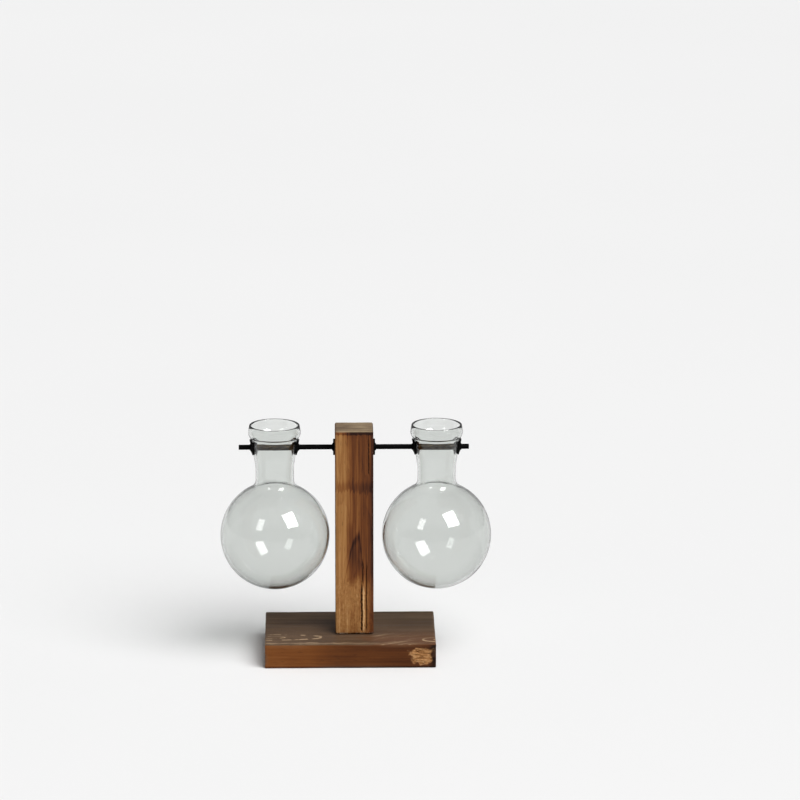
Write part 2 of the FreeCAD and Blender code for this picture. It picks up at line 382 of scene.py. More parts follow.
def board_side(tree, place, facing, figure, along, cloud):
    """Red brown stain on the board's sides, darker at the right end, paler on end grain, with painted shade
    along the foot.
    """
    on_end = ranged(tree, calculate(tree, "ABSOLUTE", facing["X"]), 0.5, 0.8)
    tone = weighed(
        tree, 0.33,
        (ranged(tree, along, 0.0, -0.05), 0.24),
        (ranged(tree, along, 0.0, 0.05), -0.06),
        (ranged(tree, place["X"], *board_dark_end), -0.25),
        (on_end, 0.22),
        (product(tree, on_end, figure["Rings"]), -0.30),
        (centred(tree, figure["Streaks"]), 0.30),
        (centred(tree, figure["Lines"]), 0.22),
        (figure["Rings"], -0.04),
        (cloud, 0.30),
        # Painted shade: the sides darken in their last two millimetres above the floor.
        (ranged(tree, place["Z"], *board_foot_shade), -0.28),
    )
    return toned(
        tree, tone,
        (0.0, (0.014, 0.006, 0.004, 1)),
        (0.25, (0.070, 0.022, 0.007, 1)),
        (0.5, (0.138, 0.045, 0.011, 1)),
        (0.8, (0.26, 0.100, 0.030, 1)),
        (1.0, (0.38, 0.17, 0.055, 1)),
    )


def board_top(tree, place, figure, along, cloud):
    """Grey brown stain on the board's top, with the post's reflection and shade painted in warm brown towards
    its right front corner.
    """
    tone = weighed(
        tree, 0.42,
        (centred(tree, figure["Streaks"]), 0.7),
        (centred(tree, figure["Lines"]), 0.5),
        (cloud, 0.5),
    )
    stain = toned(
        tree, tone,
        (0.0, (0.028, 0.016, 0.010, 1)),
        (0.5, (0.110, 0.067, 0.040, 1)),
        (1.0, (0.21, 0.140, 0.085, 1)),
    )
    # Painted reflection and shade of the post: the top turns warm brown in front of the post and to its
    # right.
    painted_post_reflection_and_shade = product(tree, ranged(tree, along, 0.005, 0.03), ranged(tree, place["Y"], 0.0, -0.03), 0.6)
    return mixed(tree, painted_post_reflection_and_shade, stain, (0.125, 0.048, 0.020, 1))


def grain_loops(tree, place, middle, reach, jag):
    """Two pale loops of grain, one inside the other, round a point of the board's top."""
    across = calculate(tree, "DIVIDE", calculate(tree, "SUBTRACT", place["X"], middle[0]), reach[0])
    inward = calculate(tree, "DIVIDE", calculate(tree, "SUBTRACT", place["Y"], middle[1]), reach[1])
    square = calculate(tree, "MULTIPLY_ADD", inward, inward, product(tree, across, across))
    ring = weighed(tree, calculate(tree, "SQRT", square), (jag, 0.16))
    from_outer = calculate(tree, "ABSOLUTE", calculate(tree, "SUBTRACT", ring, 1.0))
    from_inner = calculate(tree, "ABSOLUTE", calculate(tree, "SUBTRACT", ring, inner_loop_share))
    nearest = calculate(tree, "MINIMUM", from_outer, from_inner)
    slope = ranged(tree, calculate(tree, "ABSOLUTE", inward), 0.0, 0.8, 1 / reach[0], 1 / reach[1])
    return ranged(tree, calculate(tree, "DIVIDE", nearest, product(tree, slope, loop_line / 2)), 1.0, 0.4)


def bare_grain(tree, position, place, figure, along, jag):
    """Where the stain is off the top's raised grain: two pairs of loops, a fan of lines and the front rim."""
    left_loops = grain_loops(tree, place, left_loop_middle, left_loop_reach, jag)
    dashes = ranged(tree, stretched_noise(tree, position, (130.0, 90.0, 90.0), 2.0), 0.50, 0.58)
    dashes = calculate(tree, "MAXIMUM", dashes, ranged(tree, place["X"], *left_loop_unbroken))
    fan = add_node(tree, "Mapping", {"Vector": position, "Rotation": (0, 0, math.radians(fan_angle))})
    fan_lines = product(
        tree,
        ranged(tree, stretched_noise(tree, fan.outputs[0], (34.0, 620.0, 620.0), 2.0), 0.52, 0.64),
        ranged(tree, place["X"], *fan_left),
        ranged(tree, place["X"], *fan_right),
        ranged(tree, place["Y"], *fan_back),
        0.52,
    )
    wavy = weighed(tree, place["Y"], (jag, 0.009))
    from_line = calculate(tree, "SUBTRACT", wavy, board_low.y + front_line_inset)
    front_line = product(
        tree,
        ranged(tree, calculate(tree, "ABSOLUTE", from_line), *front_line_fade),
        ranged(tree, along, 0.03, -0.02, 0.14, 0.60),
    )
    bare = product(tree, left_loops, dashes)
    bare = calculate(tree, "MAXIMUM", bare, fan_lines)
    bare = calculate(tree, "MAXIMUM", bare, front_line)
    bare = product(tree, bare, ranged(tree, figure["Lines"], 0.36, 0.56, 0.25, 0.85))
    right_loops = grain_loops(tree, place, right_loop_middle, right_loop_reach, jag)
    inward = calculate(tree, "SUBTRACT", place["Y"], right_loop_middle[1])
    near_front = ranged(tree, inward, right_loop_reach[1] / 2, -right_loop_reach[1] / 2, 0.3, 0.9)
    return calculate(tree, "MAXIMUM", bare, product(tree, right_loops, near_front))


def torn_wood(tree, position, hollow):
    """Pale splintered wood in the knot, with painted shade in its hollows."""
    crumbs = stretched_noise(tree, position, (260.0, 600.0, 900.0), 4.0, 0.7)
    # Painted shade: the deeper the hollow, the darker the wood.
    tone = weighed(tree, 0.62, (centred(tree, crumbs), 1.0), (hollow, -0.34))
    return toned(
        tree, tone,
        (0.0, (0.020, 0.008, 0.004, 1)),
        (0.25, (0.12, 0.048, 0.018, 1)),
        (0.5, (0.29, 0.135, 0.048, 1)),
        (0.85, (0.54, 0.32, 0.15, 1)),
    )


def board_material():
    """Dark stain over pale wood, with bare grain on the top and in the torn knot."""
    material, tree, shader = new_material("base_wood")
    coordinates = add_node(tree, "TexCoord").outputs
    position = coordinates["Object"]
    place = add_node(tree, "SeparateXYZ", {0: position}).outputs
    facing = add_node(tree, "SeparateXYZ", {0: coordinates["Normal"]}).outputs
    figure = timber(tree, position, board_pith, board_ring_width)
    mask = carved_masks(tree, "wear", "torn", "hollow")
    jag = centred(tree, stretched_noise(tree, position, (90.0, 300.0, 300.0), 3.0, 0.6))
    cloud = centred(tree, stretched_noise(tree, position, (18.0, 50.0, 50.0), 3.0))
    along = weighed(tree, place["X"], (cloud, 0.09))
    side = board_side(tree, place, facing, figure, along, cloud)
    bare = bare_grain(tree, position, place, figure, along, jag)
    top = mixed(tree, bare, board_top(tree, place, figure, along, cloud), (0.50, 0.35, 0.21, 1))
    colour = mixed(tree, ranged(tree, facing["Z"], 0.35, 0.75), side, top)
    colour = mixed(tree, product(tree, mask["wear"], 0.45), colour, (0.15, 0.095, 0.06, 1))
    colour = mixed(tree, mask["torn"], colour, torn_wood(tree, position, mask["hollow"]))
    colour = mixed(tree, product(tree, figure["Pores"], 0.5), colour, (0.02, 0.01, 0.006, 1))
    varnish = ranged(tree, figure["Lines"], 0.3, 0.7, 0.36, 0.55)
    set_inputs(tree, shader, {
        "Base Color": colour,
        "Roughness": mixed(tree, mask["torn"], varnish, (0.9, 0.9, 0.9, 1)),
        "Specular IOR Level": 0.07,
        "Normal": bump(tree, 0.35, 0.25 * mm, figure["Height"]),
    })
    return material


def dress(piece, material, slot, body, *nodes):
    """Give a finished piece its material and its body, and hide the nodes that it stands for. The slot is not
    used.
    """
    piece.data.materials.clear()
    piece.data.materials.append(material)
    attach(piece, body)
    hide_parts(*nodes)


knot_reach = Vector((knot_half_width, 0, knot_half_height)) + knot_margin
board = timber_block(
    "base_board_wood", board_low, board_high, board_cell, board_edge_round,
    knot_middle - knot_reach, knot_middle + knot_reach)
carve(board, board_surface)
dress(board, board_material(), "base_wood", "stand", "base_board")


# Post: one square length of the same wood, planed, burnt at its top edge and oiled. It has a honey
# coloured side and a red brown side, a dark band, a dark flame, and deep drying cracks low on the front.
post_low, post_high = [Vector(corner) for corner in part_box("post")]
post_cell = 4.9 * mm
post_edge_round = 1.2 * mm
post_fine_margin = Vector((2 * mm, 1 * mm, 0))
post_wear_reach = 3 * mm
post_wear_patch = 6 * mm
post_wear_depth = 0.24 * mm
post_grain_width = 1 * mm
post_grain_depth = 0.05 * mm
post_pith = (0, 50 * mm, 0)
post_ring_width = 2.6 * mm
foot_grain_width = 1.5 * mm
foot_grain_depth = 0.28 * mm
foot_grain_ends = (66 * mm, 48 * mm)
foot_grain_sway = (9 * mm, 5 * mm)
foot_pale_ends = (66 * mm, 54 * mm)
foot_shade_fade = (4 * mm, -2 * mm)
foot_round_depth = 0.7 * mm
foot_round_height = 2.5 * mm
foot_chip_fade = (2.6 * mm, 0.8 * mm)
line_taper = (3 * mm, 8 * mm)
line_wander = (0.4 * mm, 0.5 * mm)
line_wave = (2.2 * mm, 13 * mm)
line_tear = 1.1 * mm
line_face_fade = (3 * mm, 1.5 * mm)
crack_depth = 1.8 * mm
crack_x = post_low.x + 19.2 * mm
crack_ends = (19.5 * mm, 60 * mm)
crack_half_width = 0.62 * mm
sliver_rise = 0.22 * mm
sliver_x = post_low.x + 20.7 * mm
sliver_ends = (19 * mm, 58 * mm)
sliver_half_width = 0.75 * mm
groove_x = post_low.x + 22.8 * mm
groove_ends = (20 * mm, 76 * mm)
groove_half_width = 0.5 * mm
left_groove_x = post_low.x + 19.9 * mm
left_groove_ends = (56 * mm, 78 * mm)
left_groove_half_width = 0.45 * mm
upper_groove_x = post_low.x + 24.4 * mm
upper_groove_ends = (138 * mm, 171 * mm)
flame_x = post_low.x + 13.9 * mm
flame_lean = 2.4 * mm
flame_half_width = 7 * mm
flame_foot = 60 * mm
flame_tip = 94 * mm
flame_front_fade = (-6 * mm, -14 * mm)
flame_inside_fade = (5 * mm, 20 * mm)
flame_legs_fade = (-12 * mm, 8 * mm)
band_ends = (126.5 * mm, 134 * mm)
band_foot_fade = (-0.7 * mm, 0.7 * mm)
band_head_fade = (3 * mm, -3 * mm)
honey_edge = post_low.x + 9.3 * mm
honey_fade = (3.5 * mm, -2.5 * mm)
scorch_fade = (-5 * mm, -0.6 * mm)
burnt_fade = (-2.9 * mm, -2.2 * mm)
painted_edge_shade_fade = (-6 * mm, -2 * mm)
end_rim_fade = (4 * mm, 1 * mm)


def upright_line(point, middle_x, ends, half_width, seed):
    """How far a point of the front face lies inside a wandering upright line, from 0 to 1."""
    fine = noise.noise(Vector((seed, 0, point.z / line_wave[0])))
    slow = noise.noise(Vector((seed, 3, point.z / line_wave[1])))
    torn = noise.noise(Vector((seed, 6, point.z / line_tear)))
    inside = smooth_step(point.z, ends[0], ends[0] + line_taper[0])
    inside *= smooth_step(point.z, ends[1], ends[1] - line_taper[1])
    gap = abs(point.x - middle_x - line_wander[0] * fine - line_wander[1] * slow)
    front = smooth_step(point.y - post_low.y, *line_face_fade)
    width = half_width * (0.5 + 0.5 * inside) * (1 + 0.3 * fine + 0.7 * torn)
    return smooth_step(gap, width, 0.3 * width) * inside * front


def post_surface(point):
    """Grain raised, edges and foot softened and cracks opened."""
    ragged = noise.fractal(Vector((point.x, point.y, point.z / 5)) / post_wear_patch, 1.0, 2.0, 2)
    edge = max(0.0, 1 - edge_gap(point, post_low, post_high) / post_wear_reach)
    rubbed = edge**2 * smooth_step(ragged, -0.5, 0.7)
    crack = upright_line(point, crack_x, crack_ends, crack_half_width, 5)
    groove = max(
        upright_line(point, groove_x, groove_ends, groove_half_width, 9),
        upright_line(point, left_groove_x, left_groove_ends, left_groove_half_width, 31),
        upright_line(point, upper_groove_x, upper_groove_ends, groove_half_width, 14),
    )
    sliver = upright_line(point, sliver_x, sliver_ends, sliver_half_width, 23)
    opened = max(crack, 0.45 * groove)
    sway = foot_grain_sway[0] * grain_noise(point, 2, foot_grain_sway[1], 11)
    foot = smooth_step(point.z + sway, *foot_grain_ends)
    grain = 0.5 - 0.5 * grain_noise(point, 2, post_grain_width, 7)
    rough = foot * max(0.0, grain_noise(point, 2, foot_grain_width, 21))
    rounding = smooth_step(point.z, post_low.z + foot_round_height, post_low.z) ** 2 * (0.7 + 0.6 * ragged)
    depth = post_wear_depth * rubbed + post_grain_depth * grain + foot_grain_depth * rough
    depth += crack_depth * opened - sliver_rise * sliver + foot_round_depth * max(rounding, 0.0)
    return depth, {"wear": rubbed, "edge": edge, "crack": max(crack, 0.8 * groove), "sliver": sliver}


def ranged_from(tree, value, place, fade, low=0.0, high=1.0):
    """Value mapped smoothly between two distances from a place."""
    return ranged(tree, value, place + fade[0], place + fade[1], low, high)


def flame_shape(tree, height, across):
    """Value that is 1 on the flame's outline, less inside it and more outside."""
    rise = calculate(tree, "DIVIDE", calculate(tree, "SUBTRACT", height, flame_foot), flame_tip - flame_foot)
    sideways = calculate(tree, "SUBTRACT", weighed(tree, across, (rise, -flame_lean)), flame_x)
    sideways = calculate(tree, "DIVIDE", sideways, flame_half_width)
    return calculate(tree, "MULTIPLY_ADD", sideways, sideways, rise)


def post_tone(tree, position, place, figure, mask, teeth, sway):
    """Tone of the sides: light on the left and at the foot, dark in the band, the flame and the scorched top,
    with painted shade along the right edges.
    """
    height = weighed(tree, place["Z"], (teeth, 0.018), (sway, 0.008))
    across = weighed(tree, place["X"], (sway, 0.007), (teeth, 0.004))
    honey = ranged_from(tree, across, honey_edge, honey_fade)
    band = product(
        tree,
        ranged_from(tree, height, band_ends[0], band_foot_fade),
        ranged_from(tree, height, band_ends[1], band_head_fade),
    )
    shape = flame_shape(tree, height, across)
    front = ranged(tree, place["Y"], *flame_front_fade)
    flame = product(
        tree,
        ranged(tree, shape, 1.06, 0.90),
        ranged_from(tree, height, flame_foot, flame_inside_fade),
        front,
    )
    outline = product(
        tree,
        ranged(tree, calculate(tree, "ABSOLUTE", calculate(tree, "SUBTRACT", shape, 0.94)), 0.16, 0.02),
        ranged_from(tree, height, flame_foot, flame_legs_fade),
        front,
    )
    foot = product(
        tree,
        ranged(tree, height, *foot_pale_ends),
        ranged_from(tree, across, crack_x, foot_shade_fade, 0.5, 0.93),
    )
    scorch = ranged_from(tree, height, post_high.z, scorch_fade)
    burnt = ranged_from(tree, weighed(tree, place["Z"], (teeth, 0.003)), post_high.z, burnt_fade)
    # Painted shade: the sides darken near their edges on the post's right side.
    painted_edge_shade = product(tree, mask["edge"], ranged_from(tree, place["X"], post_high.x, painted_edge_shade_fade))
    rough = centred(tree, stretched_noise(tree, position, (900.0, 900.0, 420.0), 3.0, 0.7))
    return weighed(
        tree, 0.31,
        (calculate(tree, "MAXIMUM", honey, foot), 0.40),
        (product(tree, rough, foot), 0.75),
        (band, -0.16),
        (flame, -0.13),
        (outline, -0.17),
        (scorch, -0.06),
        (burnt, -0.26),
        (painted_edge_shade, -0.25),
        (centred(tree, figure["Streaks"]), 0.42),
        (centred(tree, figure["Lines"]), 0.62),
        (figure["Rings"], -0.10),
        (centred(tree, figure["Fibres"]), 0.34),
        (mask["wear"], 0.06),
    )


def post_end_grain(tree, position, place, sway):
    """Pale end grain with fine lines across it and a lighter rim at the front."""
    end_lines = stretched_noise(tree, position, (60.0, 700.0, 60.0), 3.0)
    front_rim = ranged_from(tree, place["Y"], post_low.y, end_rim_fade)
    return toned(
        tree, weighed(tree, end_lines, (front_rim, 0.16), (sway, 0.8)),
        (0.25, (0.135, 0.092, 0.058, 1)),
        (0.5, (0.205, 0.144, 0.088, 1)),
        (0.8, (0.30, 0.225, 0.138, 1)),
    )


def post_material():
    """Oiled wood: honey on the left, red brown on the right, with pale chips at its foot, and painted shade
    in the cracks there and along its right edges.
    """
    material, tree, shader = new_material("post_wood")
    coordinates = add_node(tree, "TexCoord").outputs
    position = coordinates["Object"]
    place = add_node(tree, "SeparateXYZ", {0: position}).outputs
    facing = add_node(tree, "SeparateXYZ", {0: coordinates["Normal"]}).outputs
    upright = add_node(tree, "Mapping", {"Vector": position, "Rotation": (0, math.radians(90), 0)}).outputs[0]
    figure = timber(tree, upright, post_pith, post_ring_width)
    mask = carved_masks(tree, "wear", "edge", "crack", "sliver")
    teeth = centred(tree, stretched_noise(tree, upright, (22.0, 700.0, 700.0), 3.0, 0.6))
    sway = centred(tree, stretched_noise(tree, upright, (30.0, 60.0, 60.0), 2.0))
    colour = toned(
        tree, post_tone(tree, position, place, figure, mask, teeth, sway),
        (0.0, (0.022, 0.008, 0.005, 1)),
        (0.12, (0.058, 0.019, 0.009, 1)),
        (0.32, (0.125, 0.040, 0.012, 1)),
        (0.5, (0.200, 0.076, 0.022, 1)),
        (0.72, (0.305, 0.145, 0.047, 1)),
        (1.0, (0.46, 0.25, 0.10, 1)),
    )
    colour = mixed(tree, product(tree, mask["sliver"], 0.8), colour, (0.66, 0.41, 0.20, 1))
    # Painted shade: the cracks and grooves are coloured near black.
    colour = mixed(tree, mask["crack"], colour, (0.014, 0.006, 0.004, 1))
    colour = mixed(tree, product(tree, figure["Pores"], 0.5), colour, (0.03, 0.012, 0.006, 1))
    end_grain = post_end_grain(tree, position, place, sway)
    colour = mixed(tree, ranged(tree, facing["Z"], 0.6, 0.85), colour, end_grain)
    chips = product(
        tree,
        ranged_from(tree, place["Z"], post_low.z, foot_chip_fade),
        ranged(tree, stretched_noise(tree, position, (700.0, 700.0, 500.0), 2.0), 0.50, 0.58),
        ranged(tree, mask["edge"], 0.35, 0.75),
        0.8,
    )
    set_inputs(tree, shader, {
        "Base Color": mixed(tree, chips, colour, (0.66, 0.60, 0.50, 1)),
        "Roughness": ranged(tree, figure["Lines"], 0.3, 0.7, 0.42, 0.62),
        "Specular IOR Level": 0.09,
        "Normal": bump(tree, 0.4, 0.3 * mm, figure["Height"]),
    })
    return material


post_fine_low = Vector((left_groove_x, post_low.y, post_low.z)) - post_fine_margin
post_fine_high = Vector((groove_x, post_low.y, groove_ends[1])) + post_fine_margin
post = timber_block(
    "post_wood", post_low, post_high, post_cell, post_edge_round, post_fine_low, post_fine_high)
carve(post, post_surface)
dress(post, post_material(), "post_wood", "stand", "post")


# Post screws: two zinc plated countersunk wood screws with a cross recess, driven up through the
# board into the post's end grain. Both wooden pieces are bored for them, and the board's underside is
# countersunk for their heads.
screw_low, screw_high = [Vector(corner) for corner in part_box("post_screws")]
screw_head_radius = (screw_high.y - screw_low.y) / 2
screw_shank_radius = 2 * mm
screw_head_rim = 0.4 * mm
screw_clearance = 0.1 * mm
hole_sides = 48
cutter_overrun = 1 * mm
weld_distance = 0.002 * mm


def turned(name, outline, sides):
    """Solid of revolution about Z from a closed outline of (radius, height) points."""
    start_piece()
    bpy.ops.mesh.primitive_circle_add(vertices=len(outline), radius=1)
    piece = bpy.context.object
    piece.name = name
    for vertex, (radius, height) in zip(piece.data.vertices, outline):
        vertex.co = (radius, 0, height)
    bpy.ops.object.mode_set(mode="EDIT")
    bpy.ops.mesh.select_all(action="SELECT")
    bpy.ops.mesh.spin(steps=sides, angle=math.tau, center=(0, 0, 0), axis=(0, 0, 1))
    bpy.ops.mesh.select_all(action="SELECT")
    bpy.ops.mesh.remove_doubles(threshold=weld_distance)
    bpy.ops.mesh.normals_make_consistent(inside=False)
    bpy.ops.object.mode_set(mode="OBJECT")
    bpy.ops.object.shade_smooth()
    return piece


def cut_away(piece, cutter):
    """Cut a closed piece out of another, and remove it."""
    apply_modifier(piece, "BOOLEAN", operation="DIFFERENCE", object=cutter, solver="EXACT")
    bpy.data.objects.remove(cutter)


def screw_hole(x):
    """Closed solid as large as the bore, the countersink and the head pocket of one screw."""
    pocket_radius = screw_head_radius + screw_clearance
    shaft_radius = screw_shank_radius + screw_clearance
    rim_top = screw_low.z + screw_head_rim
    hole_top = screw_high.z + screw_clearance
    outline = [
        (0, -cutter_overrun),
        (pocket_radius, -cutter_overrun),
        (pocket_radius, rim_top),
        (shaft_radius, rim_top + pocket_radius - shaft_radius),
        (shaft_radius, hole_top),
        (0, hole_top),
    ]
    hole = turned("screw_hole", outline, hole_sides)
    hole.data.transform(Matrix.Translation((x, (screw_low.y + screw_high.y) / 2, 0)))
    return hole


def screw_material():
    """Zinc plate, faintly yellow, with fine turning lines."""
    material, tree, shader = new_material("zinc_plate")
    position = add_node(tree, "TexCoord").outputs["Object"]
    lines = stretched_noise(tree, position, (300.0, 300.0, 4000.0), 2.0)
    set_inputs(tree, shader, {
        "Base Color": mixed(tree, lines, (0.50, 0.46, 0.36, 1), (0.68, 0.66, 0.60, 1)),
        "Roughness": ranged(tree, lines, 0.3, 0.7, 0.28, 0.45),
        "Metallic": 1.0,
    })
    return material


def finish_node(name, material):
    """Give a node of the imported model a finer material."""
    node = bpy.data.objects[name]
    for slot in node.material_slots:
        slot.material = material


finish_node("post_screws", screw_material())
for screw_x in (screw_low.x + screw_head_radius, screw_high.x - screw_head_radius):
    cut_away(board, screw_hole(screw_x))
    cut_away(post, screw_hole(screw_x))


# Crossbar: a drawn steel rod, powder coated satin black, with its cut ends broken by a file. It is
# pushed through the post and turns in the post's two bushes.
bar_low, bar_high = [Vector(corner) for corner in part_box("crossbar")]
bar_radius = (bar_high.z - bar_low.z) / 2
bar_half = (bar_high.x - bar_low.x) / 2
bar_axis = (bar_low + bar_high) / 2
bar_end_round = 0.35 * mm
bar_sides = 48


def on_circle(centre, radius, angle):
    """Point on a circle at an angle in degrees."""
    turn = math.radians(angle)
    return Vector((centre[0] + radius * math.cos(turn), centre[1] + radius * math.sin(turn)))


def arc_points(centre, radius, start, end, steps):
    """Points on a circle between two angles in degrees."""
    return [on_circle(centre, radius, start + (end - start) * step / steps) for step in range(steps + 1)]


def rounded(centre, radius, start, steps=5):
    """Points of a quarter round, counterclockwise from an angle in degrees."""
    return arc_points(centre, radius, start, start + 90, steps)


def lay_along_bar(piece, side=1):
    """Turn a piece from the Z axis onto the crossbar's axis, pointing right or left."""
    piece.data.transform(Matrix.Rotation(math.radians(90 * side), 4, "Y"))
    return piece


def black_steel():
    """Satin black powder coat with a fine orange peel and faint rub marks along the rod."""
    material, tree, shader = new_material("black_coat")
    position = add_node(tree, "TexCoord").outputs["Object"]
    rubs = stretched_noise(tree, position, (30.0, 900.0, 900.0), 3.0)
    peel = stretched_noise(tree, position, (1400.0, 1400.0, 1400.0), 2.0)
    rubbed = ranged(tree, rubs, 0.5, 0.8)
    set_inputs(tree, shader, {
        "Base Color": mixed(tree, rubbed, (0.0015, 0.0015, 0.0016, 1), (0.005, 0.005, 0.005, 1)),
        "Roughness": ranged(tree, rubs, 0.35, 0.75, 0.45, 0.6),
        "Specular IOR Level": 0.03,
        "Normal": bump(tree, 0.25, 0.05 * mm, peel),
    })
    return material


bar_round_x = bar_radius - bar_end_round
bar_round_z = bar_half - bar_end_round
bar_outline = [(0, -bar_half)] + rounded((bar_round_x, -bar_round_z), bar_end_round, -90)
bar_outline += rounded((bar_round_x, bar_round_z), bar_end_round, 0) + [(0, bar_half)]
crossbar = lay_along_bar(turned("crossbar_rod", bar_outline, bar_sides))
crossbar.data.transform(Matrix.Translation(bar_axis))
dress(crossbar, black_steel(), "black_steel", "crossbar", "crossbar")


# Post bushes: moulded black rubber, pressed into the post from each side, with a round edged flange
# and a collar that tapers down to the rod.
bush_flange_thickness = 1.3 * mm
bush_barrel_radius = 3.5 * mm
bush_collar_length = 0.8 * mm
bush_collar_root_radius = 2.9 * mm
bush_collar_tip_radius = 2.4 * mm
bush_round = 0.45 * mm
bush_lip_round = 0.2 * mm
bush_collar_foot = (0.3 * mm, 0.2 * mm)
bore_radius = bar_radius + 0.05 * mm
rubber_sides = 64


def black_rubber():
    """Moulded rubber: near black, matt, with a faint grey bloom."""
    material, tree, shader = new_material("moulded_rubber")
    position = add_node(tree, "TexCoord").outputs["Object"]
    bloom = stretched_noise(tree, position, (260.0, 260.0, 260.0), 4.0, 0.6)
    skin = stretched_noise(tree, position, (2600.0, 2600.0, 2600.0), 2.0)
    grey = ranged(tree, bloom, 0.45, 0.8)
    set_inputs(tree, shader, {
        "Base Color": mixed(tree, grey, (0.0018, 0.0018, 0.0018, 1), (0.006, 0.006, 0.0058, 1)),
        "Roughness": ranged(tree, bloom, 0.3, 0.7, 0.52, 0.7),
        "Specular IOR Level": 0.03,
        "Normal": bump(tree, 0.3, 0.04 * mm, skin),
    })
    return material


rubber = black_rubber()


def bush_outline(flange_radius, barrel_length):
    """Outline of a post bush, whose flange starts at height zero and whose collar points up."""
    flange_top = bush_flange_thickness
    collar_top = flange_top + bush_collar_length
    barrel_tip = (bush_barrel_radius - bush_lip_round, bush_lip_round - barrel_length)
    collar_tip = (bush_collar_tip_radius - bush_lip_round, collar_top - bush_lip_round)
    points = [(bore_radius, -barrel_length)] + rounded(barrel_tip, bush_lip_round, -90)
    points += [(bush_barrel_radius, 0)]
    points += rounded((flange_radius - bush_lip_round, bush_lip_round), bush_lip_round, -90)
    points += rounded((flange_radius - bush_round, flange_top - bush_round), bush_round, 0)
    points += [(bush_collar_root_radius + bush_collar_foot[0], flange_top)]
    points += [(bush_collar_root_radius, flange_top + bush_collar_foot[1])]
    return points + rounded(collar_tip, bush_lip_round, 0) + [(bore_radius, collar_top)]


for side_name, side in (("left", -1), ("right", 1)):
    node = side_name + "_post_bush"
    low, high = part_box(node)
    flange_radius = (high[2] - low[2]) / 2
    face_x = post_low.x if side < 0 else post_high.x
    barrel_length = (high[0] - low[0]) - bush_flange_thickness - bush_collar_length
    bush = turned(node + "_rubber", bush_outline(flange_radius, barrel_length), rubber_sides)
    lay_along_bar(bush, side)
    bush.data.transform(Matrix.Translation((face_x, bar_axis.y, bar_axis.z)))
    dress(bush, rubber, "black_rubber", "stand", node)


# Bar sleeves: a short length of thin brown rubber tube on the rod inside each neck, cut square and
# left loose. Its skin is dull, with paler flecks.
sleeve_round = 0.15 * mm
sleeve_sides = 40
sleeve_cuts = (-0.6, -0.2, 0.2, 0.6)


def sleeve_rubber():
    """Brown black rubber with pale mottling."""
    material, tree, shader = new_material("spotted_tube")
    position = add_node(tree, "TexCoord").outputs["Object"]
    spots = stretched_noise(tree, position, (520.0, 900.0, 900.0), 4.0, 0.75)
    base = mixed(tree, ranged(tree, spots, 0.35, 0.6), (0.004, 0.002, 0.001, 1), (0.022, 0.012, 0.004, 1))
    set_inputs(tree, shader, {
        "Base Color": mixed(tree, ranged(tree, spots, 0.55, 0.66), base, (0.20, 0.14, 0.06, 1)),
        "Roughness": ranged(tree, spots, 0.4, 0.8, 0.45, 0.75),
        "Specular IOR Level": 0.15,
        "Normal": bump(tree, 0.4, 0.1 * mm, spots),
    })
    return material


tube_material = sleeve_rubber()
for side_name in ("left", "right"):
    node = side_name + "_bar_sleeve"
    low, high = [Vector(corner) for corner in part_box(node)]
    outer_radius = (high.z - low.z) / 2
    half_length = (high.x - low.x) / 2
    corner = (outer_radius - sleeve_round, half_length - sleeve_round)
    outline = [(bore_radius, -half_length)] + rounded((corner[0], -corner[1]), sleeve_round, -90, 3)
    outline += [(outer_radius, half_length * share) for share in sleeve_cuts]
    outline += rounded(corner, sleeve_round, 0, 3) + [(bore_radius, half_length)]
    sleeve = lay_along_bar(turned(node + "_tube", outline, sleeve_sides))
    sleeve.data.transform(Matrix.Translation((low + high) / 2))
    dress(sleeve, tube_material, "sleeve_rubber", side_name + "_sleeve", node)


# Glass vases: blown borosilicate. A ball, a short neck that flares, and a lip stepped outwards and
# fire polished. Two holes are drilled through the neck for the grommets.
glass_wall = 1.6 * mm
shoulder_round = 7 * mm
neck_radius = 14 * mm
neck_length = 7 * mm
flare_round = 40 * mm
flare_angle = 9.0
flare_below_hole = 11.2 * mm
flare_above_hole = 6.2 * mm
lip_step_round = 2.5 * mm
lip_step_angle = 38.0
lip_bead_round = 6.5 * mm
lip_lean_angle = 8.0
lip_height = 4 * mm
glass_hole_radius = 4.06 * mm
glass_sides = 144
glass_ripple_depth = 0.10 * mm
glass_ripple_length = 17 * mm
glass_ripple_fade = (10 * mm, 16 * mm)
glass_longest_step = 2.5 * mm
shortest_step = 0.01 * mm
ball_steps = 60
bend_steps = 12
short_bend_steps = 6
rim_steps = 8
drill_sides = 64

glass_low, glass_high = [Vector(corner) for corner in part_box("left_glass_vase")]
ball_radius = (glass_high.x - glass_low.x) / 2
flare = math.radians(flare_angle)
flare_up = Vector((math.sin(flare), math.cos(flare)))
flare_out = Vector((math.cos(flare), -math.sin(flare)))
shoulder_x = neck_radius + shoulder_round
shoulder_centre = Vector((shoulder_x, math.sqrt((ball_radius + shoulder_round) ** 2 - shoulder_x**2)))
shoulder_turn = math.degrees(math.atan2(shoulder_centre.y, shoulder_centre.x))
bend_centre = Vector((neck_radius + flare_round, shoulder_centre.y + neck_length))
flare_start = bend_centre - flare_out * flare_round
hole_height = flare_start.y + flare_below_hole
flare_end = flare_start + flare_up * ((flare_below_hole + flare_above_hole) / math.cos(flare))
lip_up = Vector((-math.sin(math.radians(lip_lean_angle)), math.cos(math.radians(lip_lean_angle))))


